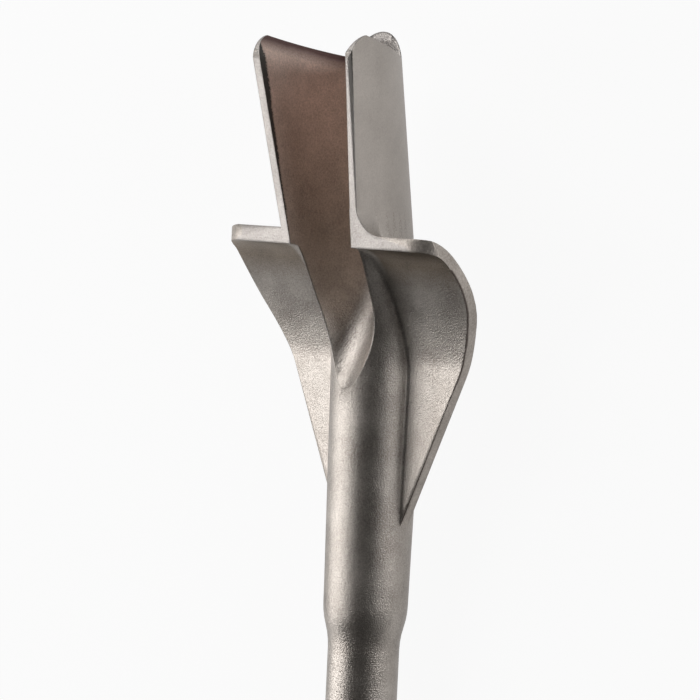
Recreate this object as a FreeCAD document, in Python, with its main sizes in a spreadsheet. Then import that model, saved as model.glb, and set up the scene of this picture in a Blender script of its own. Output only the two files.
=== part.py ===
import FreeCAD, Part
import math
import os
import Sketcher
from FreeCAD import Placement, Rotation, Vector

# Winged gouge chisel for a rotary hammer: one forged and ground steel piece.
# It is modelled standing on its rear face: Z runs up the shank to the cutting edge, X is across
# the wings and -Y is the open side of the channel. At the end it is laid down on its back.

os.makedirs("parts", exist_ok=True)
doc = FreeCAD.newDocument("GougeChisel")

# Driving dimensions, millimetres and degrees
SIZES = [
    ("overall_length", 250.0, "rear face to the highest point of the cutting edge"),
    ("drive_radius", 5.0, "radius of the drive end"),
    ("drive_length", 52.0, "length of the drive end"),
    ("drive_chamfer", 1.0, "bevel round the rear face"),
    ("drive_cone", 2.5, "height of the cone from the drive end to the shank"),
    ("slot_width", 4.8, "width of the two open drive slots"),
    ("slot_depth", 2.0, "depth of the two open drive slots"),
    ("slot_length", 38.0, "length of the open slots from the rear face"),
    ("slot_runout", 7.0, "radius of the cutter that ends each open slot"),
    ("lock_radius", 2.9, "radius of the two closed locking grooves"),
    ("lock_depth", 1.8, "depth of the closed locking grooves"),
    ("lock_start", 14.0, "rear face to the near end of the closed grooves"),
    ("lock_length", 17.0, "length of the closed grooves over their round ends"),
    ("shank_radius", 6.0, "radius of the long shank"),
    ("step_drop", 101.2, "arm tips down to the foot of the step in the shank"),
    ("step_height", 7.6, "height of the S-shaped step"),
    ("neck_foot_radius", 7.1, "radius of the neck just above the step"),
    ("neck_top_radius", 7.65, "radius of the neck under the channel"),
    ("neck_drop", 22.7, "underside of the ledges down to the top of the round neck"),
    ("arm_drop", 1.65, "how far the arm tips stay below the middle lobe"),
    ("channel_length", 33.9, "arm tips down to the underside of the ledges"),
    ("depth_tip", 20.4, "rim plane to the outside of the channel's back at the arm tips"),
    ("depth_foot", 19.8, "rim plane to the outside of the channel's back at the ledges"),
    ("side_ratio", 2.17, "radius of the channel's sides over its half width"),
    ("side_angle", 35.0, "angle over which the sides curve before the tighter back"),
    ("channel_wall", 1.6, "wall of the channel"),
    ("half_width_tip", 11.2, "outer half width of the channel at the arm tips"),
    ("half_width_foot", 8.4, "outer half width of the channel at the ledges"),
    ("reach_tip", 22.3, "rim plane in front of the axis at the arm tips"),
    ("reach_foot", 14.9, "rim plane in front of the axis at the ledges"),
    ("runout_drop", 24.2, "underside of the ledges down to the lowest point of the run-out"),
    ("runout_radius", 5.2, "cutter radius at the foot of the run-out"),
    ("throat_swell", 10.2, "how far the blank swells forward between neck and ledges"),
    ("wing_thickness", 2.1, "thickness of the wings"),
    ("wing_front", 0.55, "front of the flat wings in front of the axis"),
    ("wing_half", 23.9, "half width over both wings"),
    ("wing_wide_drop", 4.8, "underside of the ledges down to the widest point of the wings"),
    ("wing_shoulder", 16.0, "front-view radius of the wings' shoulders"),
    ("wing_taper", 23.85, "angle of each wing's edge to the axis"),
    ("ledge_corner", 6.0, "top-view radius of the ledges' outer corners"),
    ("ledge_flat", 18.0, "half width over the flat front faces of the ledges"),
    ("curl_one_radius", 11.5, "first bend of the wings, front surface"),
    ("curl_one_angle", 18.0, "lean of the wings after the first bend"),
    ("curl_two_radius", 39.3, "long gentle bend of the wings, front surface"),
    ("curl_two_angle", 44.3, "lean of the wings after the gentle bend"),
    ("curl_three_radius", 6.3, "last bend into the ledge, front surface"),
    ("corner_radius", 4.3, "side-view radius of the arms' front corners"),
    ("corner_height", 3.9, "height of those rounded corners"),
    ("corner_depth", 4.0, "rim plane to the arm tips"),
    ("valley_drop", 2.9, "arm tips down to the low corners of the edge"),
    ("valley_depth", 18.5, "rim plane back to the low corners of the edge"),
    ("bevel_height", 4.2, "height of the inner bevel below the arm tips"),
    ("edge_thickness", 0.3, "thickness left at the arm tips"),
    ("rim_bevel_tip", 0.65, "bevel along both edges of the rims at the arm tips"),
    ("rim_bevel_foot", 0.12, "the same bevel where it starts above the ledges"),
    ("ledge_fillet", 4.5, "fillet between the right wall and the top of its ledge"),
]
dims = doc.addObject("Spreadsheet::Sheet", "Dims")
for row, (alias, value, note) in enumerate(SIZES, 1):
    dims.set("A%d" % row, note)
    dims.set("B%d" % row, str(value))
    dims.setAlias("B%d" % row, alias)
doc.recompute()


def at(text):
    """Expression text with every size of the sheet written in full."""
    for alias, _value, _note in sorted(SIZES, key=lambda entry: -len(entry[0])):
        text = text.replace("<" + alias + ">", "Dims." + alias)
    return text


def number(text):
    return float(dims.evalExpression(at(text)))


# Heights and places that follow from the sheet
ARM = "(<overall_length> - <arm_drop>)"
LEDGE = "(%s - <channel_length>)" % ARM
STEP = "(%s - <step_drop>)" % ARM
NECK = "(%s - <neck_drop>)" % LEDGE


def along(foot, tip, height):
    """A size that grows evenly from the ledges to the arm tips, at some height."""
    return "(%s + (%s - %s) * (%s - %s) / <channel_length>)" % (foot, tip, foot, height, LEDGE)


def half_width(height):
    return along("<half_width_foot>", "<half_width_tip>", height)


def reach(height):
    return along("<reach_foot>", "<reach_tip>", height)


body = doc.addObject("PartDesign::Body", "GougeChiselBody")
body.Label = "gouge_chisel"
origin = {feature.Role: feature for feature in body.Origin.OriginFeatures}


def sketch(name, plane, loops, height=None):
    """A sketch of closed loops, every corner tied to the sheet.

    A loop is a list of corners (x, y) or (x, y, centre_x, centre_y): a corner with a centre starts
    an arc to the next corner, and a fifth entry sends that arc the long way round. The first four
    are expressions.
    """
    made = body.newObject("Sketcher::SketchObject", name)
    made.AttachmentSupport = [(origin[plane], "")]
    made.MapMode = "FlatFace"
    if height is not None:
        made.setExpression("AttachmentOffset.Base.z", at(height))
    for loop in loops:
        spots = [Vector(number(corner[0]), number(corner[1]), 0) for corner in loop]
        ends = []
        for index, corner in enumerate(loop):
            here, there = spots[index], spots[(index + 1) % len(loop)]
            if len(corner) == 2:
                edge = made.addGeometry(Part.LineSegment(here, there), False)
                ends.append((edge, 1, 2))
                continue
            centre = Vector(number(corner[2]), number(corner[3]), 0)
            start, stop = here - centre, there - centre
            turn = (start.x * stop.y - start.y * stop.x) * (-1 if len(corner) == 5 else 1)
            if abs(turn) < 1e-6 * start.Length * stop.Length:
                turn = 1.0  # a half circle runs anticlockwise
            first, last = (start, stop) if turn > 0 else (stop, start)
            angles = [math.atan2(first.y, first.x), math.atan2(last.y, last.x)]
            if angles[1] <= angles[0]:
                angles[1] += 2 * math.pi
            circle = Part.Circle(centre, Vector(0, 0, 1), start.Length)
            edge = made.addGeometry(Part.ArcOfCircle(circle, angles[0], angles[1]), False)
            ends.append((edge, 1, 2) if turn > 0 else (edge, 2, 1))
            across = there - here
            kind, value, text = ("DistanceY", centre.y, corner[3])
            if abs(across.y) > abs(across.x):
                kind, value, text = ("DistanceX", centre.x, corner[2])
            tie = made.addConstraint(Sketcher.Constraint(kind, edge, 3, value))
            made.setExpression("Constraints[%d]" % tie, at(text))
        for index, corner in enumerate(loop):
            edge, start, stop = ends[index]
            follower, first, _ = ends[(index + 1) % len(loop)]
            made.addConstraint(Sketcher.Constraint("Coincident", edge, stop, follower, first))
            for kind, value, text in (("DistanceX", spots[index].x, corner[0]),
                                      ("DistanceY", spots[index].y, corner[1])):
                tie = made.addConstraint(Sketcher.Constraint(kind, edge, start, value))
                made.setExpression("Constraints[%d]" % tie, at(text))
    doc.recompute()
    return made


def feature(kind, name, profile, **settings):
    """A feature of the body, recomputed and compared with the solid before it."""
    before = body.Shape.Volume if body.Tip else 0.0
    made = body.newObject("PartDesign::" + kind, name)
    if profile is not None:
        made.Profile = profile
    for key, value in settings.items():
        if isinstance(value, str) and "<" in value:
            made.setExpression(key, at(value))
        else:
            setattr(made, key, value)
    doc.recompute()
    change = made.Shape.Volume - before
    print("%-22s %10.1f mm3  change %9.1f  solids %d" % (
        name, made.Shape.Volume, change, len(made.Shape.Solids)))
    if abs(change) < 1e-3:
        raise RuntimeError(name + " changes nothing")
    return made


# Wings: a plate that starts flat beside the neck and curls forward into the ledges. Its side
# profile is three tangent bends; the back surface has the same bends, one thickness further out.
ONE, TWO = "<curl_one_angle> * 1 deg", "<curl_two_angle> * 1 deg"


def curl(offset):
    """Corners of the bent profile with their arc centres, from the flat plate to the ledge."""
    rise = "(<curl_one_radius> * sin(%s) + <curl_two_radius> * (sin(%s) - sin(%s))" \
           " + <curl_three_radius> * (1 - sin(%s)))" % (ONE, TWO, ONE, TWO)
    foot = "(%s - %s)" % (LEDGE, rise)
    first = ("(-<curl_one_radius> - <wing_front>)", foot)
    second = ("(%s + (<curl_one_radius> - <curl_two_radius>) * cos(%s))" % (first[0], ONE),
              "(%s + (<curl_one_radius> - <curl_two_radius>) * sin(%s))" % (first[1], ONE))
    third = ("(%s + (<curl_two_radius> - <curl_three_radius>) * cos(%s))" % (second[0], TWO),
             "(%s + (<curl_two_radius> - <curl_three_radius>) * sin(%s))" % (second[1], TWO))

    def point(centre, radius, angle):
        return ("%s + (%s + %s) * cos(%s)" % (centre[0], radius, offset, angle),
                "%s + (%s + %s) * sin(%s)" % (centre[1], radius, offset, angle))

    return [
        ("(%s - <wing_front>)" % offset, foot) + first,
        point(first, "<curl_one_radius>", ONE) + second,
        point(second, "<curl_two_radius>", TWO) + third,
        point(third, "<curl_three_radius>", "90 deg"),
    ]


def backwards(corners):
    """The same run of arcs, walked the other way."""
    turned = []
    for index in range(len(corners) - 1, -1, -1):
        centre = corners[index - 1][2:] if index else ()
        turned.append(corners[index][:2] + centre)
    return turned


TAPER = "<wing_taper> * 1 deg"
SHOULDER_X = "(<wing_half> - <wing_shoulder>)"
SHOULDER_Z = "(%s - <wing_wide_drop>)" % LEDGE
TANGENT = ("(%s + <wing_shoulder> * cos(%s))" % (SHOULDER_X, TAPER),
           "(%s - <wing_shoulder> * sin(%s))" % (SHOULDER_Z, TAPER))
FOOT_X = "(0.6 * <neck_foot_radius>)"
FOOT_Z = "(%s - (%s - %s) / tan(%s))" % (TANGENT[1], TANGENT[0], FOOT_X, TAPER)

FRONT = "(-1.5 * <reach_foot>)"
plate = [("(-<wing_front>)", FOOT_Z)] + curl("0") + [(FRONT, LEDGE), (FRONT, LEDGE + " + <wing_thickness>")]
plate += backwards(curl("<wing_thickness>")) + [("(<wing_thickness> - <wing_front>)", FOOT_Z)]
feature("Pad", "WingPlate", sketch("WingProfile", "YZ_Plane", [plate]),
        Length="2 * <wing_half> + 2", Midplane=True)


def outline(side):
    """What lies outside one wing, seen from the front."""
    top, far = "(%s + 20)" % LEDGE, "(<wing_half> + 6)"
    corners = [
        (FOOT_X, FOOT_Z + " - 1"), (FOOT_X, FOOT_Z),
        TANGENT + (SHOULDER_X, SHOULDER_Z), (SHOULDER_X, "(%s + <wing_shoulder>)" % SHOULDER_Z),
        (SHOULDER_X, top), (far, top), (far, FOOT_Z + " - 1"),
    ]
    return [tuple("%s * %s" % (side, part) if place % 2 == 0 else part
                  for place, part in enumerate(corner)) for corner in corners]


# The lowest two corners lie inside the neck
outlines = sketch("WingOutline", "XZ_Plane", [outline("1"), outline("-1")])
feature("Pocket", "WingTrim", outlines, Type=1, Midplane=True)


def ledge_end(side):
    """What lies outside the rounded outer corner of one ledge, seen from the tip."""
    front, turn = "(-<reach_foot> - 0.2)", "(<ledge_corner> - <reach_foot> - 0.2)"
    wide, far = "(<ledge_flat> + <ledge_corner>)", "(<wing_half> + 6)"
    corners = [
        ("<ledge_flat>", front, "<ledge_flat>", turn), (wide, turn), (far, turn),
        (far, "(-2.5 * <reach_foot>)"), ("<ledge_flat>", "(-2.5 * <reach_foot>)"),
    ]
    return [tuple("%s * %s" % (side, part) if place % 2 == 0 else part
                  for place, part in enumerate(corner)) for corner in corners]


ends = sketch("LedgeEnds", "XY_Plane", [ledge_end("1"), ledge_end("-1")])
feature("Pocket", "LedgeTrim", ends, Length="<overall_length>", Reversed=True)

# Channel blank. Below the ledges its sections are rounded back and front and grow out of the
# round neck; above them they are a filled U that flares and leans forward.
TURN = "<side_angle> * 1 deg"


def depth(height):
    return along("<depth_foot>", "<depth_tip>", height)


def outside(height):
    """Where the outside of the channel's back lies, behind the axis."""
    return "(%s - %s)" % (depth(height), reach(height))


def back_of(half, back, ratio):
    """Gently curved sides that run into a tighter back, from +X round to -X.

    Returns the arcs' corners and the height of the two ends.
    """
    side = "(%s * %s)" % (ratio, half)
    deep = "((%s - %s) * tan(%s) + %s - (%s - %s) / cos(%s))" % (
        side, half, TURN, side, side, half, TURN)
    end = "(%s - %s)" % (back, deep)
    knee = ("(%s - %s * (1 - cos(%s)))" % (half, side, TURN),
            "(%s + %s * sin(%s))" % (end, side, TURN))
    middle = "(%s + (%s - %s) * tan(%s))" % (end, side, half, TURN)
    return [
        (half, end, "(%s - %s)" % (half, side), end), knee + ("0", middle),
        ("-" + knee[0], knee[1], "(%s - %s)" % (side, half), end),
    ], end


def u_section(name, height, half, back, front, ratio="<side_ratio>"):
    """A U with a flat front."""
    arcs, end = back_of(half, back, ratio)
    return sketch(name, "XY_Plane", [arcs + [
        ("-%s" % half, end), ("-%s" % half, "-%s" % front), (half, "-%s" % front),
    ]], height)


def round_section(name, height, half, back, front, ratio):
    """The back of a U, closed by a rounded front through the same two ends."""
    arcs, end = back_of(half, back, ratio)
    deep = "(%s + %s)" % (front, end)
    before = "(%s - (%s * %s - %s * %s) / (2 * %s))" % (end, deep, deep, half, half, deep)
    return sketch(name, "XY_Plane", [arcs + [("-%s" % half, end, "0", before, "long")]], height)


TOP = "(%s + 5)" % ARM
FAR = "(2 * <reach_tip>)"
SEAM = "(%s + <wing_thickness> / 2)" % LEDGE


def throat(name, share, half, back, swell, bend):
    """A rounded section, some share of the way from the neck to the ledges."""
    height = "(%s + %s * (%s - %s))" % (NECK, share, SEAM, NECK)
    return round_section(name, height, half or half_width(height), back or outside(height),
                         "(<neck_top_radius> + %s * <throat_swell>)" % swell,
                         "(1 + %s * (<side_ratio> - 1))" % bend)


lower = [
    throat("BlankNeck", 0, "<neck_top_radius>", "<neck_top_radius>", 0, 0),
    throat("BlankSwell", 0.18, "<neck_top_radius>", "<neck_top_radius>", 0.01, 0.02),
    throat("BlankKnee", 0.40, "<neck_top_radius>", None, 0.17, 0.2),
    throat("BlankThroat", 0.60, None, None, 0.43, 0.5),
    throat("BlankUnder", 0.78, None, None, 0.65, 0.8),
    throat("BlankLedge", 1, None, None, 1, 1),
]
feature("AdditiveLoft", "NeckBlank", lower[0], Sections=lower[1:])
upper = [
    u_section("BlankSeam", SEAM, half_width(SEAM), outside(SEAM), FAR),
    u_section("BlankTop", TOP, half_width(TOP), outside(TOP), FAR),
]
feature("AdditiveLoft", "ChannelBlank", upper[0], Sections=upper[1:])

# The fillet between the right wall and the top of its ledge, which fades out down the wing's back
TOP_FACE = "(%s + <wing_thickness>)" % LEDGE
BEND_BACK = "(<curl_three_radius> + <wing_thickness>)"
BEND_Y = "(-<curl_one_radius> - <wing_front> + (<curl_one_radius> - <curl_two_radius>) * cos(%s)" \
         " + (<curl_two_radius> - <curl_three_radius>) * cos(%s))" % (ONE, TWO)


def fillet_section(name, ahead, drop, share):
    """A corner wedge with a hollow front, seen from the tip's side.

    ahead is how far it lies in front of the last bend's centre and drop how far the wing's back
    surface has fallen there. Its ends are sunk a little into the wall and the ledge.
    """
    size = "(%s * <ledge_fillet>)" % share
    floor = "(%s - %s)" % (TOP_FACE, drop)
    wall, foot = half_width("(%s + %s)" % (floor, size)), "(%s - 0.05)" % floor
    centre = ("(%s + %s - 0.05)" % (wall, size), "(%s + %s)" % (foot, size))
    return sketch(name, "XZ_Plane", [[
        ("(%s - 0.05)" % wall, centre[1]) + centre, (centre[0], foot),
        (centre[0], "(%s - 0.5 * <wing_thickness>)" % foot),
        ("(%s - 2 * <channel_wall>)" % wall, "(%s - 0.5 * <wing_thickness>)" % foot),
        ("(%s - 2 * <channel_wall>)" % wall, centre[1]),
    ]], "(%s - %s)" % (ahead, BEND_Y))


rims = "(%s + %s + 0.3)" % (reach("(%s + <ledge_fillet>)" % TOP_FACE), BEND_Y)
wedges = [fillet_section("FilletFront", rims, "0", 1), fillet_section("FilletBend", "0", "0", 1)]
for name, angle, share in (("FilletHigh", 75, 0.93), ("FilletMiddle", 62, 0.7), ("FilletLow", 50, 0.32)):
    wedges.append(fillet_section(name, "(-%s * cos(%d deg))" % (BEND_BACK, angle),
                                 "(%s * (1 - sin(%d deg)))" % (BEND_BACK, angle), share))
feature("AdditiveLoft", "LedgeFillet", wedges[0], Sections=wedges[1:])

# Everything ends at the rim plane
LOW, HIGH = "(%s - 9)" % LEDGE, "(%s + 8)" % ARM
rim = sketch("RimPlane", "YZ_Plane", [[
    ("-%s" % reach(LOW), LOW), ("-%s" % reach(HIGH), HIGH), ("-3 * <reach_tip>", HIGH),
    ("-3 * <reach_tip>", LOW),
]])
feature("Pocket", "RimCut", rim, Type=1, Midplane=True)

# Shank and neck, turned: drive end, shank, S-shaped step and the slightly conical neck
SHANK = "<shank_radius>"
NECK_LOW = "<neck_foot_radius>"
HALF_STEP = "((%s - %s) / 2)" % (NECK_LOW, SHANK)
STEP_ARC = "((%s * %s + <step_height> * <step_height> / 4) / (2 * %s))" % (
    HALF_STEP, HALF_STEP, HALF_STEP)
turned = sketch("ShankProfile", "XZ_Plane", [[
    ("0", "0"), ("(<drive_radius> - <drive_chamfer>)", "0"), ("<drive_radius>", "<drive_chamfer>"),
    ("<drive_radius>", "<drive_length>"), (SHANK, "(<drive_length> + <drive_cone>)"),
    (SHANK, STEP, "(%s + %s)" % (SHANK, STEP_ARC), STEP),
    ("(%s + %s)" % (SHANK, HALF_STEP), "(%s + <step_height> / 2)" % STEP,
     "(%s - %s)" % (NECK_LOW, STEP_ARC), "(%s + <step_height>)" % STEP),
    (NECK_LOW, "(%s + <step_height>)" % STEP), ("<neck_top_radius>", NECK),
    ("0", NECK),
]])
feature("Revolution", "Shank", turned, ReferenceAxis=(turned, ["V_Axis"]), Angle=360.0)

# Drive end: two open slots from the rear face and two closed grooves for the locking balls
FLOOR = "(<drive_radius> - <slot_depth>)"
RUN = "(<slot_length> - sqrt(<slot_runout> * <slot_runout>" \
      " - (<slot_runout> - <slot_depth>) * (<slot_runout> - <slot_depth>)))"


def slot(side):
    corners = [
        (FLOOR, "-1"), (FLOOR, RUN, "(%s + <slot_runout>)" % FLOOR, RUN),
        ("<drive_radius>", "<slot_length>"), ("(<drive_radius> + 2)", "<slot_length>"),
        ("(<drive_radius> + 2)", "-1"),
    ]
    return [tuple("%s * %s" % (side, part) if place % 2 == 0 else part
                  for place, part in enumerate(corner)) for corner in corners]


slots = sketch("DriveSlots", "XZ_Plane", [slot("1"), slot("-1")])
feature("Pocket", "OpenSlots", slots, Length="<slot_width>", Midplane=True)

BALL = "(<drive_radius> - <lock_depth> + <lock_radius>)"
LOCK_LOW = "(<lock_start> + <lock_radius>)"
LOCK_HIGH = "(<lock_start> + <lock_length> - <lock_radius>)"
locks = sketch("LockProfile", "YZ_Plane", [[
    (BALL, "<lock_start>", BALL, LOCK_LOW),
    ("(%s - <lock_radius>)" % BALL, LOCK_LOW),
    ("(%s - <lock_radius>)" % BALL, LOCK_HIGH, BALL, LOCK_HIGH),
    (BALL, "(%s + <lock_radius>)" % LOCK_HIGH),
]])
axle = locks.addGeometry(Part.LineSegment(
    Vector(number(BALL), number("<lock_start>"), 0),
    Vector(number(BALL), number("%s + <lock_radius>" % LOCK_HIGH), 0)), True)
locks.addConstraint(Sketcher.Constraint("Coincident", axle, 1, 0, 2))
locks.addConstraint(Sketcher.Constraint("Coincident", axle, 2, 2, 1))
doc.recompute()
lock = feature("Groove", "LockGroove", locks, ReferenceAxis=(locks, ["Axis0"]), Angle=360.0)
feature("Mirrored", "LockGrooves", None, Originals=[lock], MirrorPlane=(origin["XZ_Plane"], [""]))

# Channel: a flared U that leans forward, and turns back at its foot to run out on the neck
FOOT = "(%s - <runout_drop>)" % LEDGE


def inner(name, height):
    return u_section(name, height, "(%s - <channel_wall>)" % half_width(height),
                     "(%s - <channel_wall>)" % outside(height), FAR)


def runout(name, share):
    """A section between the foot of the run-out (0) and the ledges (1)."""
    height = "(%s + %s * (%s - %s))" % (FOOT, share, LEDGE, FOOT)
    wide = "(%s - <channel_wall>)" % half_width(LEDGE)
    deep = "(%s - <channel_wall>)" % outside(LEDGE)
    start = "(-<neck_top_radius>)"
    return u_section(name, height,
                     "(<runout_radius> + %s * (%s - <runout_radius>))" % (share, wide),
                     "(%s + %s * (%s - %s))" % (start, share, deep, start), FAR,
                     "(1 + %s * (<side_ratio> - 1))" % max(share, 0))


hollow = [inner("HollowTop", TOP)]
hollow += [inner("Hollow" + name, "(%s + %s * <channel_length>)" % (LEDGE, share))
           for name, share in (("High", 0.7), ("Middle", 0.4), ("Low", 0.12))]
hollow += [runout("RunoutHigh", 0.72), runout("RunoutMiddle", 0.36), runout("RunoutFoot", -0.25)]
feature("SubtractiveLoft", "Channel", hollow[0], Sections=hollow[1:])

# Cutting edge: rounded front corners, arms that fall away to two low corners, and a steep
# cut across the back that leaves the middle lobe
SLOPE = "(<valley_drop> / (<valley_depth> - <corner_depth>))"
EDGE = reach(ARM)
PEAK = "(%s - <valley_depth> + %s)" % (outside("<overall_length>"), EDGE)
RISE = "((<arm_drop> + <valley_drop>) / %s)" % PEAK
TIP_Y = "(<corner_depth> - %s)" % EDGE
LOW_CORNER = ("(<valley_depth> - %s)" % EDGE, "(%s - <valley_drop>)" % ARM)
CORNER = ("-%s" % reach("(%s - <corner_height>)" % ARM), "(%s - <corner_height>)" % ARM)
MIDDLE = ("((%s + %s) / 2)" % (CORNER[0], TIP_Y), "((%s + %s) / 2)" % (CORNER[1], ARM))
CHORD = "sqrt((%s - %s) * (%s - %s) + <corner_height> * <corner_height>)" % (
    TIP_Y, CORNER[0], TIP_Y, CORNER[0])
SAG = "sqrt(<corner_radius> * <corner_radius> - %s * %s / 4)" % (CHORD, CHORD)
CENTRE = ("(%s + %s * <corner_height> / %s)" % (MIDDLE[0], SAG, CHORD),
          "(%s - %s * (%s - %s) / %s)" % (MIDDLE[1], SAG, TIP_Y, CORNER[0], CHORD))
crown = sketch("Crown", "YZ_Plane", [[
    CORNER + CENTRE, (TIP_Y, ARM), LOW_CORNER,
    ("(%s + 8 / %s)" % (LOW_CORNER[0], RISE), "(%s + 8)" % LOW_CORNER[1]),
    ("(%s + 8 / %s)" % (LOW_CORNER[0], RISE), "(%s + 14)" % ARM),
    ("(-2 * <reach_tip>)", "(%s + 14)" % ARM), ("(-2 * <reach_tip>)", CORNER[1]),
]])
feature("Pocket", "CrownCut", crown, Type=1, Midplane=True)

# Inner bevel: the walls thin out towards the edge
START = "(%s - <bevel_height>)" % ARM
bevel = [
    u_section("BevelFoot", START, "(%s - 1.1 * <channel_wall>)" % half_width(START),
              "(%s - 1.1 * <channel_wall>)" % outside(START), FAR),
    u_section("BevelTop", ARM, "(%s - <edge_thickness>)" % half_width(ARM),
              "(%s - <edge_thickness>)" % outside(ARM), FAR),
]
feature("SubtractiveLoft", "InnerBevel", bevel[0], Sections=bevel[1:])

# Rims: both edges of each rim are bevelled, more and more towards the arm tips
RIM_LOW = "(%s + 3 * <wing_thickness>)" % LEDGE


def rim_bevel(name, height, leg, edge, side):
    """A triangle over one edge of the rim: side is 1 outside the wall and -1 inside it."""
    front = "(-%s)" % reach(height)
    return sketch(name, "XY_Plane", [[
        ("(%s - %s * (%s + 1))" % (edge, side, leg), "(%s - 1)" % front),
        ("(%s + %s)" % (edge, side), "(%s - 1)" % front),
        ("(%s + %s)" % (edge, side), "(%s + %s + 1)" % (front, leg)),
    ]], height)


bevels = []
for place, side, wall in (("Outer", "1", "0"), ("Inner", "-1", "<channel_wall>")):
    runs = [rim_bevel(place + "RimLow", RIM_LOW, "<rim_bevel_foot>",
                      "(%s - %s)" % (half_width(RIM_LOW), wall), side),
            rim_bevel(place + "RimHigh", ARM, "<rim_bevel_tip>",
                      "(%s - %s)" % (half_width(ARM), wall), side)]
    bevels.append(feature("SubtractiveLoft", place + "RimBevel", runs[0], Sections=runs[1:]))
feature("Mirrored", "RimBevels", None, Originals=bevels, MirrorPlane=(origin["YZ_Plane"], [""]))

doc.recompute()

# At rest the tool lies on its back, on its rear end, its neck and the edge of one wing: the pose
# in which its centre of mass is as low as it can get
corners = body.Shape.tessellate(0.05)[0]
centre = body.Shape.CenterOfGravity
near = [corner for corner in corners if corner.y > -0.6 * abs(corner.x)]


def upward(roll, pitch):
    """The upward direction, with the tool rolled about its axis and its tip raised."""
    roll, pitch = math.radians(roll), math.radians(pitch)
    return Vector(math.sin(roll) * math.cos(pitch), -math.cos(roll) * math.cos(pitch),
                  math.sin(pitch))


def clearance(roll, pitch):
    """Height of the centre of mass over the lowest point."""
    up = upward(roll, pitch)
    return centre.dot(up) - min(corner.dot(up) for corner in near)


def lowest(height, low, high):
    for _ in range(24):
        first, second = low + (high - low) / 3, high - (high - low) / 3
        if height(first) < height(second):
            high = second
        else:
            low = first
    return (low + high) / 2


def best_pitch(roll):
    return lowest(lambda pitch: clearance(roll, pitch), -3.0, 3.0)


roll = lowest(lambda angle: clearance(angle, best_pitch(angle)), 2.0, 40.0)
pitch = best_pitch(roll)
up = upward(roll, pitch)
along_tool = (Vector(0, 0, 1) - up * up.z).normalize()
across = up.cross(along_tool)
turn = FreeCAD.Matrix(along_tool.x, along_tool.y, along_tool.z, 0, across.x, across.y, across.z, 0,
                      up.x, up.y, up.z, 0, 0, 0, 0, 1)
laid = [turn.multVec(corner) for corner in corners]
middle = [(min(spot[k] for spot in laid) + max(spot[k] for spot in laid)) / 2 for k in (0, 1)]
base = Vector(-middle[0], -middle[1], -min(spot.z for spot in laid))
body.Placement = Placement(base, Rotation(turn))
doc.recompute()
print("lies rolled by %.2f and tip raised by %.2f degrees" % (roll, pitch))
print("rear face centre", body.Placement.multVec(Vector(0, 0, 0)), "axis", across, along_tool, up)

for item in doc.Objects:
    if "Invalid" in item.State or "Error" in item.State:
        raise RuntimeError("%s failed: %s" % (item.Name, item.State))
if body.Shape.isNull() or not body.Shape.isValid():
    raise RuntimeError("the chisel's solid is not valid")
print("solids", len(body.Shape.Solids), "faces", len(body.Shape.Faces))
body.Shape.exportStep("parts/gouge_chisel.step")
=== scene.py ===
import math
from collections import namedtuple

import bmesh
import bpy
from mathutils import Matrix, Vector


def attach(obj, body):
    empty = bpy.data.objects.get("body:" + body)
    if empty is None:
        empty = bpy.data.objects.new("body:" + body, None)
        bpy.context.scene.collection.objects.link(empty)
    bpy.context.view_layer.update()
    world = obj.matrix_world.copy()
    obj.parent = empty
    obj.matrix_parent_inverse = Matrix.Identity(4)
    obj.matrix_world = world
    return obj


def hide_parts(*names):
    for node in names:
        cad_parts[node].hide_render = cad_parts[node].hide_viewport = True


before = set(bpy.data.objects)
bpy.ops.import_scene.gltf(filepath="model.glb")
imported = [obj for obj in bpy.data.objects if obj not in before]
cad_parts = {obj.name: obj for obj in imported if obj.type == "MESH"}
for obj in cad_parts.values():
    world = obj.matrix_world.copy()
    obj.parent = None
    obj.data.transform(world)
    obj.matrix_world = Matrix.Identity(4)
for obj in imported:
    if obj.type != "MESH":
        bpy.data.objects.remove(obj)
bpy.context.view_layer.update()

# Gouge chisel
# One forging of tool steel: a turned shank, wings pressed out beside the neck and a channel
# opened between them. It was blasted to a satin grey, then its rims and edges were ground.

# How the chisel lies on the table: rolled onto one wing, with its tip slightly raised
roll, pitch = math.radians(19.366008), math.radians(0.688406)
rear_face = Vector((-0.12495407, -0.00236166, 0.00534439))
upward = Vector((math.sin(roll) * math.cos(pitch), -math.cos(roll) * math.cos(pitch),
                 math.sin(pitch)))
forward = (Vector((0, 0, 1)) - upward * upward.z).normalized()
sideways = upward.cross(forward)
lying = Matrix((forward, sideways, upward))
standing = lying.transposed()
MM = 0.001

# Sizes of the upright chisel in mm: x runs across it, y to its back and z up from its rear
# face. From the ledges to the tips of the arms the channel leans forward and flares.
ledge_height, ledge_thickness, ledge_front = 214.45, 2.1, -15.1
channel_length, channel_depth, back_radius = 33.9, 19.8, 9.0
rim_front, rim_lean = 14.9, 7.4
half_width, flare = 8.4, 2.8


def upright(point):
    """A point of the table frame, in millimetres on the upright chisel."""
    return standing @ (Vector(point) - rear_face) / MM


def laid(spot):
    """A point of the upright chisel, in the table frame."""
    return rear_face + lying @ (spot * MM)


def rim_at(height):
    """Where the rims' front faces lie at a height."""
    return -(rim_front + rim_lean * (height - ledge_height) / channel_length)


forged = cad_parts["gouge_chisel"]
metal = bmesh.new()
metal.from_mesh(forged.data)
same_spot, no_length = 0.002 * MM, 0.001 * MM
bmesh.ops.remove_doubles(metal, verts=metal.verts, dist=same_spot)
bmesh.ops.dissolve_degenerate(metal, edges=metal.edges, dist=no_length)

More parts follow.
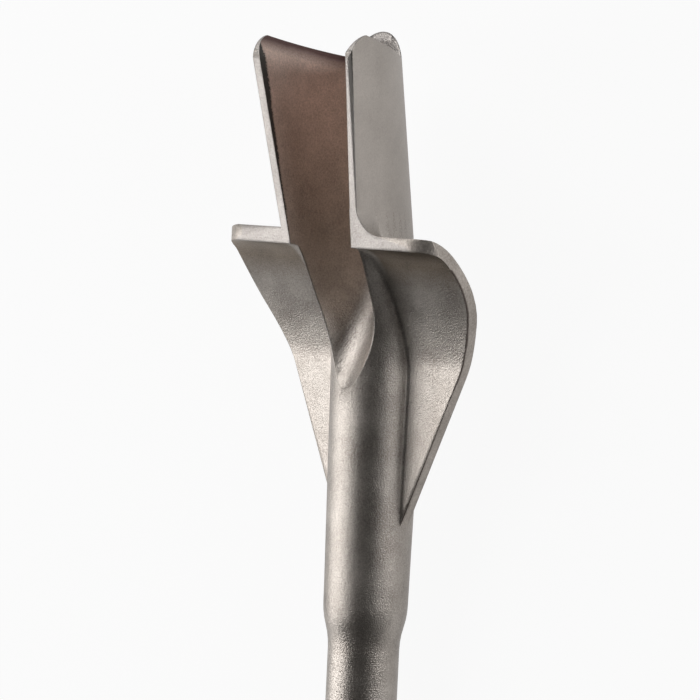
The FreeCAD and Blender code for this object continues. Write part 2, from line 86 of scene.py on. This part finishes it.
# The fronts of the ledges run evenly into their rounded ends, and so does the inner step of
# the middle lobe
round_end = 17.9
step_low, step_high, step_front, step_half = 248.2, 248.5, -2.76, 5
for vert in metal.verts:
    spot = upright(vert.co)
    if abs(spot.x) > round_end and spot.y < ledge_front and spot.z > ledge_height - 0.1:
        spot.y = ledge_front
        vert.co = laid(spot)
    if step_low < spot.z < step_high and spot.y > step_front - 0.02 and abs(spot.x) < step_half:
        spot.y = min(spot.y, step_front)
        vert.co = laid(spot)

# The left ledge came out of the die a little thicker, which tapers off towards the wing's end
left_top = ledge_height + ledge_thickness
extra, fading = 0.6, 0.5
wing_end, taper = 23.2, 4
top_front, top_back = -15.6, -11
face_line, face_slope = -15.2, 0.22
for vert in metal.verts:
    spot = upright(vert.co)
    over = spot.z - left_top
    if spot.x < -half_width and -fading < over < 0.05 and top_front < spot.y < top_back:
        lift = extra * (1 + over / fading) * min(1.0, (wing_end + spot.x) / taper)
        spot.z += lift
        if spot.y < face_line:
            spot.y -= face_slope * lift
        vert.co = laid(spot)
bmesh.ops.remove_doubles(metal, verts=metal.verts, dist=same_spot)

# Its upper edge is rounded over
steep = math.radians(50)
rounding, edge_back, edge_root = 0.45, -12, -9
below_top, above_top = left_top - extra, left_top + extra + 0.1
rounded = []
for edge in metal.edges:
    ends = [upright(vert.co) for vert in edge.verts]
    outside = all(end.x < -half_width and end.y < edge_back for end in ends)
    on_top = all(below_top < end.z < above_top for end in ends)
    if outside and on_top and min(end.x for end in ends) < edge_root:
        if edge.is_manifold and edge.calc_face_angle_signed() > steep:
            rounded.append(edge)
bmesh.ops.bevel(metal, geom=rounded, offset=rounding * MM, offset_type="OFFSET", segments=3,
                profile=0.5, affect="EDGES", material=-1, clamp_overlap=True)

sharp = math.radians(28)
for face in metal.faces:
    face.smooth = True
for edge in metal.edges:
    edge.smooth = not (edge.is_manifold and edge.calc_face_angle() > sharp)


def feed(tree, value, socket):
    """Set a socket to a value, or link it to another node's output."""
    if isinstance(value, bpy.types.NodeSocket):
        tree.links.new(value, socket)
    else:
        socket.default_value = value


def node(tree, kind, place, **sockets):
    """A shader node with some of its sockets set or linked."""
    made = tree.nodes.new(kind)
    made.location = place
    for name, value in sockets.items():
        feed(tree, value, made.inputs[name.replace("_", " ")])
    return made


def reckon(tree, place, operation, *terms):
    """The result of a Math node."""
    made = node(tree, "ShaderNodeMath", place)
    made.operation = operation
    for term, socket in zip(terms, made.inputs):
        feed(tree, term, socket)
    return made.outputs[0]


def fade(tree, place, value, start, end, low=0.0, high=1.0):
    """A value that runs from low to high while another one runs from start to end."""
    made = node(tree, "ShaderNodeMapRange", place, Value=value, From_Min=start, From_Max=end,
                To_Min=low, To_Max=high)
    return made.outputs["Result"]


def coat(tree, place, amount, under, over, kind="MIX"):
    """A colour laid over another one by an amount."""
    made = node(tree, "ShaderNodeMix", place)
    made.data_type, made.blend_type = "RGBA", kind
    for value, index in ((amount, 0), (under, 6), (over, 7)):
        feed(tree, value, made.inputs[index])
    return made.outputs[2]


def marked(tree, place, name):
    """What the corners of the mesh carry under a name."""
    made = node(tree, "ShaderNodeAttribute", place)
    made.attribute_name = name
    return made.outputs["Fac"]


# Blasted grain: fine pits and a slight mottling of the tone
grain = bpy.data.node_groups.new("Blasted grain", "ShaderNodeTree")
for name, kind in (("Place", "NodeSocketVector"), ("Fineness", "NodeSocketFloat")):
    grain.interface.new_socket(name, in_out="INPUT", socket_type=kind)
for name in ("Height", "Tone", "Gloss"):
    grain.interface.new_socket(name, in_out="OUTPUT", socket_type="NodeSocketFloat")
taken = node(grain, "NodeGroupInput", (-900, 0)).outputs
given = node(grain, "NodeGroupOutput", (700, 0)).inputs
fine = node(grain, "ShaderNodeTexNoise", (-600, 200), Vector=taken["Place"],
            Scale=taken["Fineness"], Detail=3.0, Roughness=0.62)
pit_fineness = reckon(grain, (-750, -100), "MULTIPLY", taken["Fineness"], 1.3)
pits = node(grain, "ShaderNodeTexVoronoi", (-600, -50), Vector=taken["Place"],
            Scale=pit_fineness)
coarse = node(grain, "ShaderNodeTexNoise", (-600, -350), Vector=taken["Place"], Scale=0.16,
              Detail=4.0, Roughness=0.55)
pitted = reckon(grain, (-300, 150), "MULTIPLY_ADD", pits.outputs["Distance"], 0.5,
                fine.outputs["Fac"])
feed(grain, pitted, given["Height"])
fine_share = reckon(grain, (-450, 0), "MULTIPLY", fine.outputs["Fac"], 0.55)
mottling = reckon(grain, (-300, -200), "MULTIPLY_ADD", coarse.outputs["Fac"], 0.45, fine_share)
feed(grain, fade(grain, (0, -100), mottling, 0.35, 0.65), given["Tone"])
feed(grain, coarse.outputs["Fac"], given["Gloss"])

Finish = namedtuple("Finish", "material tree shader place mottle colour bump")


def steel(name, tones, roughness, fineness, depth, edge=0.25):
    """Bare steel with a grain: its darkest and lightest tone, how fine and deep the grain is,
    and how round its edges look, the last two in mm."""
    material = bpy.data.materials.new(name)
    material.use_nodes = True
    tree = material.node_tree
    tree.nodes.clear()
    where = node(tree, "ShaderNodeTexCoord", (-1200, 0))
    turn = node(tree, "ShaderNodeMapping", (-1000, 0), Vector=where.outputs["Object"],
                Scale=(1 / MM,) * 3, Rotation=standing.to_euler(),
                Location=-(standing @ rear_face) / MM)
    place = turn.outputs["Vector"]
    mottle = node(tree, "ShaderNodeGroup", (-600, 0))
    mottle.node_tree = grain
    feed(tree, place, mottle.inputs["Place"])
    feed(tree, fineness, mottle.inputs["Fineness"])
    colour = node(tree, "ShaderNodeValToRGB", (-250, 250), Fac=mottle.outputs["Tone"])
    for element, tone in zip(colour.color_ramp.elements, tones):
        element.color = tone + (1,)
    rough = fade(tree, (-250, -50), mottle.outputs["Gloss"], 0, 1,
                 roughness - 0.06, roughness + 0.08)
    radius = reckon(tree, (-200, -450), "MULTIPLY_ADD",
                    marked(tree, (-400, -450), "softness"), 1.3 * MM, edge * MM)
    soft = node(tree, "ShaderNodeBevel", (0, -450), Radius=radius)
    soft.samples = 6
    bump = node(tree, "ShaderNodeBump", (250, -250), Strength=1.0, Distance=depth * MM,
                Height=mottle.outputs["Height"], Normal=soft.outputs["Normal"])
    shader = node(tree, "ShaderNodeBsdfPrincipled", (600, 0), Metallic=0.92,
                  Base_Color=colour.outputs["Color"], Roughness=rough,
                  Normal=bump.outputs["Normal"])
    node(tree, "ShaderNodeOutputMaterial", (900, 0), Surface=shader.outputs["BSDF"])
    return Finish(material, tree, shader, place, mottle, colour.outputs["Color"], bump)


def axes(finish):
    """The outputs that give x, y and z on the upright chisel, in mm."""
    return node(finish.tree, "ShaderNodeSeparateXYZ", (-800, 500), Vector=finish.place).outputs


# Blasted: all from the step upwards that wasn't worked any further. Right under the ledges
# the wings are painted darker and browner: painted shade under the ledges, with a brown tint.
satin = ((0.26, 0.230, 0.204), (0.54, 0.496, 0.455))
ledge_shade_brown = (0.60, 0.54, 0.47, 1)
blasted = steel("Blasted steel", satin, roughness=0.37, fineness=3.8, depth=0.055)
tree, at = blasted.tree, axes(blasted)
# Painted shade: the colour is made darker and browner in a band right under the ledges
near_ledge = fade(tree, (-550, 500), at["Z"], ledge_height - 6.5, ledge_height - 2.5)
below = reckon(tree, (-350, 400), "LESS_THAN", at["Z"], ledge_height + 0.03)
under_ledge_band = reckon(tree, (-250, 600), "MULTIPLY", near_ledge, below)
aside = reckon(tree, (-550, 700), "ABSOLUTE", at["X"])
on_wing = fade(tree, (-350, 700), aside, half_width + 0.2, half_width + 1.0)
painted_ledge_shade = reckon(tree, (-100, 600), "MULTIPLY", under_ledge_band, on_wing)
feed(tree, coat(tree, (100, 350), painted_ledge_shade, blasted.colour, ledge_shade_brown, "MULTIPLY"),
     blasted.shader.inputs["Base Color"])

# Turned: the shank under the step keeps fine rings
turned = steel("Turned steel", satin, roughness=0.35, fineness=3.8, depth=0.045)
tree = turned.tree
stretch = node(tree, "ShaderNodeVectorMath", (-800, -300))
stretch.operation = "MULTIPLY"
feed(tree, turned.place, stretch.inputs[0])
feed(tree, (0.12, 0.12, 7.0), stretch.inputs[1])
rings = node(tree, "ShaderNodeTexNoise", (-600, -300), Vector=stretch.outputs[0], Scale=1.0,
             Detail=2.0)
ringed = reckon(tree, (0, -200), "MULTIPLY_ADD", rings.outputs["Fac"], 0.7,
                turned.mottle.outputs["Height"])
feed(tree, ringed, turned.bump.inputs["Height"])

# Heat-tinted: the inside of the channel is brown; along the cutting edge it is purple-brown and
# painted dark, a painted dark reflection on the inner bevel.
# The run-out is still bare metal, and the tint grows warmer towards the tips.
tinted = steel("Heat-tinted steel", ((0.31, 0.285, 0.262), (0.58, 0.54, 0.505)),
               roughness=0.46, fineness=3.4, depth=0.05)
tree, at = tinted.tree, axes(tinted)
feed(tree, fade(tree, (300, 150), at["Z"], 204, 213, 0.92, 0.35),
     tinted.shader.inputs["Metallic"])
warmth = fade(tree, (-500, 500), at["Z"], 197, 243)
hue = node(tree, "ShaderNodeValToRGB", (-250, 600), Fac=warmth)
hue.color_ramp.elements[0].color = (1.0, 1.0, 1.0, 1)
hue.color_ramp.elements[1].color = (1.42, 1.17, 1.08, 1)
hue.color_ramp.elements.new(0.40).color = (1.03, 0.93, 0.86, 1)
brown = coat(tree, (100, 350), 1.0, tinted.colour, hue.outputs["Color"], "MULTIPLY")
# The band of painted dark reflection, tinted purple, follows the cutting edge, which falls
# towards the channel's back
bevel_reflection_purple = (0.10, 0.05, 0.045, 1)
edge_line = reckon(tree, (-600, 800), "MULTIPLY_ADD", at["Y"], 0.2, at["Z"])
ragged = reckon(tree, (-400, 800), "MULTIPLY_ADD", tinted.mottle.outputs["Gloss"], 1.6,
                edge_line)
painted_bevel_reflection = fade(tree, (-200, 850), ragged, 242.9, 244.8)
with_bevel_reflection = coat(tree, (300, 450), painted_bevel_reflection, brown, bevel_reflection_purple)
# Beside the left rim a strip of painted shade narrows downwards, with a ragged edge: it stands
# for the shaded chamfer along the rim's inner edge
chamfer_shade = (0.045, 0.04, 0.036, 1)
left_side = reckon(tree, (-600, 1100), "LESS_THAN", at["X"], 0.0)
narrowing = reckon(tree, (-400, 1300), "MULTIPLY_ADD", at["Z"], -0.05,
                   marked(tree, (-600, 1400), "from rim"))
uneven = reckon(tree, (-200, 1300), "MULTIPLY_ADD", tinted.mottle.outputs["Tone"], -0.7,
                narrowing)
shade_strip = fade(tree, (0, 1300), uneven, -10.95, -11.30)
painted_chamfer_shade = reckon(tree, (200, 1150), "MULTIPLY", shade_strip, left_side)
feed(tree, coat(tree, (450, 600), painted_chamfer_shade, with_bevel_reflection, chamfer_shade), tinted.shader.inputs["Base Color"])

# Ground: the rims, the front of the left ledge, the arms' corners and the middle lobe
ground = steel("Ground steel", ((0.28, 0.257, 0.24), (0.46, 0.428, 0.405)),
               roughness=0.42, fineness=3.4, depth=0.06, edge=0.4)

# Sheared: the trimmed edges of the wings, warmer, with dark spots where the metal tore
sheared = steel("Sheared steel", ((0.30, 0.265, 0.235), (0.56, 0.51, 0.465)),
                roughness=0.46, fineness=3.0, depth=0.05)
tree = sheared.tree
scorch = (0.10, 0.08, 0.07, 1)
spread = reckon(tree, (-550, 500), "MULTIPLY_ADD", sheared.mottle.outputs["Gloss"], 0.45,
                marked(tree, (-800, 500), "front edge"))
spots = fade(tree, (-350, 500), spread, 0.98, 1.10)
feed(tree, coat(tree, (100, 350), spots, sheared.colour, scorch),
     sheared.shader.inputs["Base Color"])

# Shaded bevels: the bevels along the rims are mottled, and painted dark as painted shade since
# they face away from the light; they are paler towards the ledges and the rim
shaded_bevel = steel("Shaded bevel steel", ((0.05, 0.045, 0.04), (0.34, 0.315, 0.29)),
             roughness=0.40, fineness=2.2, depth=0.05)
tree = shaded_bevel.tree
paler_tone = (0.75, 0.70, 0.66, 1)
low_down = fade(tree, (-500, 500), axes(shaded_bevel)["Z"], 234, 224)
by_the_rim = fade(tree, (-500, 700), marked(tree, (-700, 700), "from rim"), 0.48, 0.34)
either = reckon(tree, (-300, 600), "MAXIMUM", low_down, by_the_rim)
feed(tree, coat(tree, (100, 350), either, shaded_bevel.colour, paler_tone), shaded_bevel.shader.inputs["Base Color"])

# Brushed: the outsides of the arms are smoother than the rest
brushed = steel("Brushed steel", ((0.37, 0.335, 0.305), (0.48, 0.438, 0.402)),
                roughness=0.41, fineness=3.8, depth=0.025)

# Where the finishes meet on the upright chisel
shank_end = 147.2
trimmed_side, trimmed_top, lower_side, lower_top = 17.5, 217, 9.2, 200
bevel_low, bevel_high, bevel_width = 219, 247.5, 0.75
lobe_half, lobe_front, lobe_foot = 5.5, -4.6, 245.5
left_ledge_end, face_back, face_foot, face_top = 18, -14.5, 215, 218
runout_foot, arm_corner, brushed_foot = 190, 244, ledge_height + 4


def finish_of(face):
    """The finish of a face, found from its place and direction on the upright chisel."""
    where = upright(face.calc_center_median())
    facing = standing @ face.normal
    aside = abs(where.x)
    rim = rim_at(where.z)
    if where.z < shank_end:
        return turned
    if aside > trimmed_side and where.z < trimmed_top and abs(facing.x) > 0.22 and facing.z < 0.9:
        return sheared
    if where.z < lower_top and aside > lower_side and abs(facing.x) > 0.5 and abs(facing.y) < 0.5:
        return sheared
    if abs(where.y - rim) < 0.08 and facing.y < -0.95:
        return ground
    # The bevels along the rims get the finish that is painted dark as shade
    on_bevel = bevel_low < where.z < bevel_high and rim - 0.1 < where.y < rim + bevel_width
    if on_bevel and -0.95 < facing.y < -0.4:
        return shaded_bevel
    if aside < lobe_half and where.y > lobe_front and where.z > lobe_foot:
        return ground
    # Inside the arms and in front of the back, what faces the channel's middle line is its wall
    back = rim + channel_depth
    middle = back - back_radius
    half = half_width + flare * (where.z - ledge_height) / channel_length
    inside = where.z > runout_foot and aside < half - 0.1 and where.y < back - 0.2
    inwards = facing.x * where.x + facing.y * (where.y - middle) < 0
    if inside and inwards and (facing.z < 0.5 or aside > lobe_half):
        return tinted
    if where.z > arm_corner and facing.z > 0.3:
        return ground
    on_left_ledge = -left_ledge_end < where.x < -half_width and where.y < face_back
    if on_left_ledge and face_foot < where.z < face_top and facing.y < -0.15:
        return ground
    return brushed if where.z > brushed_foot else blasted


finishes = (blasted, turned, tinted, ground, sheared, shaded_bevel, brushed)
for face in metal.faces:
    face.material_index = finishes.index(finish_of(face))

# The shaders read from the corners how soft an edge looks, how near the torn front corner of
# a trimmed edge is, and how far the spot lies behind the rims, in mm
soft_ledge, soft_channel, soft_valley = 0.35, 0.25, 1.0
ledge_side, ledge_range, channel_foot, valley_foot = 9, 3, 172, 148
torn_top = ledge_height - 3.2
hollow = -math.radians(18)
softness = metal.verts.layers.float.new("softness")
front_edge = metal.verts.layers.float.new("front edge")
from_rim = metal.verts.layers.float.new("from rim")
for vert in metal.verts:
    spot = upright(vert.co)
    vert[from_rim] = spot.y - rim_at(spot.z)
    near_ledge = abs(spot.x) > ledge_side and abs(spot.z - ledge_height) < ledge_range
    if near_ledge and spot.y < face_back:
        vert[softness] = soft_ledge
for edge in metal.edges:
    if not edge.is_manifold:
        continue
    height = upright(edge.verts[0].co).z
    kinds = {finishes[face.material_index] for face in edge.link_faces}
    if kinds == {blasted, tinted} and channel_foot < height < ledge_height - 0.95:
        for vert in edge.verts:
            vert[softness] = soft_channel
    if valley_foot < height < ledge_height - 0.45 and edge.calc_face_angle_signed() < hollow:
        for vert in edge.verts:
            vert[softness] = soft_valley
    if kinds == {blasted, sheared} and height < torn_top:
        plain = [face for face in edge.link_faces if finishes[face.material_index] is blasted][0]
        ahead = standing @ plain.normal
        if ahead.y < -0.05 or ahead.z < -0.5:
            for vert in edge.verts:
                vert[front_edge] = 1.0

mesh = bpy.data.meshes.new("chisel")
metal.to_mesh(mesh)
metal.free()
chisel = bpy.data.objects.new("chisel", mesh)
bpy.context.scene.collection.objects.link(chisel)
for finish in finishes:
    mesh.materials.append(finish.material)
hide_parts("gouge_chisel")
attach(chisel, "root")

# Table
# A sweep of matt white board under the chisel. It looks white to the camera, and the steel
# mirrors it paler, so that the chisel keeps its dark flanks. It also glows faintly to every ray,
# a painted glow that lights the chisel from below like a light table.
bpy.ops.mesh.primitive_plane_add(size=4, location=(0, 0, 0))
table = bpy.context.active_object
table.name = "table"
board = bpy.data.materials.new("White board")
board.use_nodes = True
tree = board.node_tree
tree.nodes.clear()
base_glow, seen_glow, mirrored_part = 0.30, 0.63, 0.4
matt = node(tree, "ShaderNodeBsdfDiffuse", (0, 100), Color=(0.8, 0.8, 0.8, 1))
glow = node(tree, "ShaderNodeEmission", (0, -100), Color=(1, 1, 1, 1), Strength=1.0)
ray = node(tree, "ShaderNodeLightPath", (-300, 300)).outputs
looked_at = reckon(tree, (-150, 300), "MULTIPLY_ADD", ray["Is Glossy Ray"], mirrored_part,
                   ray["Is Camera Ray"])
glowing = reckon(tree, (0, 300), "MULTIPLY_ADD", looked_at, seen_glow, base_glow)
share = node(tree, "ShaderNodeMixShader", (300, 0), Fac=glowing)
feed(tree, matt.outputs[0], share.inputs[1])
feed(tree, glow.outputs[0], share.inputs[2])
node(tree, "ShaderNodeOutputMaterial", (600, 0), Surface=share.outputs[0])
table.data.materials.append(board)

# Camera
# It looks down on the lying chisel, from the open side of the channel and somewhat from the
# right, and is turned so that the chisel stands nearly upright in the picture.
azimuth, elevation, lean = math.radians(43), math.radians(3.5), math.radians(2.65)
pixel, half_picture = MM / 6.0, 350
distance = 0.480
to_camera = lying @ Vector((math.sin(azimuth) * math.cos(elevation),
                            -math.cos(azimuth) * math.cos(elevation), math.sin(elevation)))
axis = lying @ Vector((0, 0, 1))
rise = (axis - to_camera * axis.dot(to_camera)).normalized()
right = rise.cross(to_camera)
image_up = rise * math.cos(lean) - right * math.sin(lean)
image_right = image_up.cross(to_camera)
# The chisel's axis passes the middle row of the picture right of its centre
axis_height, axis_offset = 197.29, 27.5
middle = laid(Vector((0, 0, axis_height))) - image_right * axis_offset * pixel
camera = bpy.data.objects.new("camera", bpy.data.cameras.new("camera"))
bpy.context.scene.collection.objects.link(camera)
camera.data.sensor_width = 36
camera.data.lens = camera.data.sensor_width / 2 * distance / (half_picture * pixel)
camera.matrix_world = Matrix((image_right, image_up, to_camera)).transposed().to_4x4()
camera.matrix_world.translation = middle + to_camera * distance
camera.data.clip_start, camera.data.clip_end = 0.01, 20
bpy.context.scene.camera = camera

# Lights
# A tall soft box on each side and a small one at the upper left light the chisel. The room is
# dim, but looks white to the camera.


def soft_box(name, swing, lift, away, size, power):
    """An area lamp, swung left of the camera and lifted towards the tip, in degrees."""
    swing, lift = math.radians(swing), math.radians(lift)
    level = to_camera * math.cos(swing) - image_right * math.sin(swing)
    direction = level * math.cos(lift) + image_up * math.sin(lift)
    lamp = bpy.data.lights.new(name, "AREA")
    lamp.shape = "RECTANGLE"
    lamp.size, lamp.size_y = size
    lamp.energy = power
    made = bpy.data.objects.new(name, lamp)
    bpy.context.scene.collection.objects.link(made)
    made.location = middle + direction * away
    made.rotation_mode = "QUATERNION"
    made.rotation_quaternion = direction.to_track_quat("Z", "Y")


soft_box("left box", swing=102, lift=-8, away=0.7, size=(0.30, 1.3), power=5.1)
soft_box("upper left box", swing=66, lift=46, away=0.7, size=(0.35, 0.35), power=2.4)
soft_box("right box", swing=-63, lift=6, away=0.9, size=(0.25, 1.1), power=4.9)
world = bpy.data.worlds.new("room")
world.use_nodes = True
tree = world.node_tree
room = tree.nodes["Background"]
room_light = 0.04
ray = node(tree, "ShaderNodeLightPath", (-600, 0)).outputs
strength = reckon(tree, (-300, 0), "MULTIPLY_ADD", ray["Is Camera Ray"], 1 - room_light,
                  room_light)
feed(tree, (1, 1, 1, 1), room.inputs["Color"])
feed(tree, strength, room.inputs["Strength"])
bpy.context.scene.world = world

bpy.context.scene.view_settings.view_transform = "Standard"
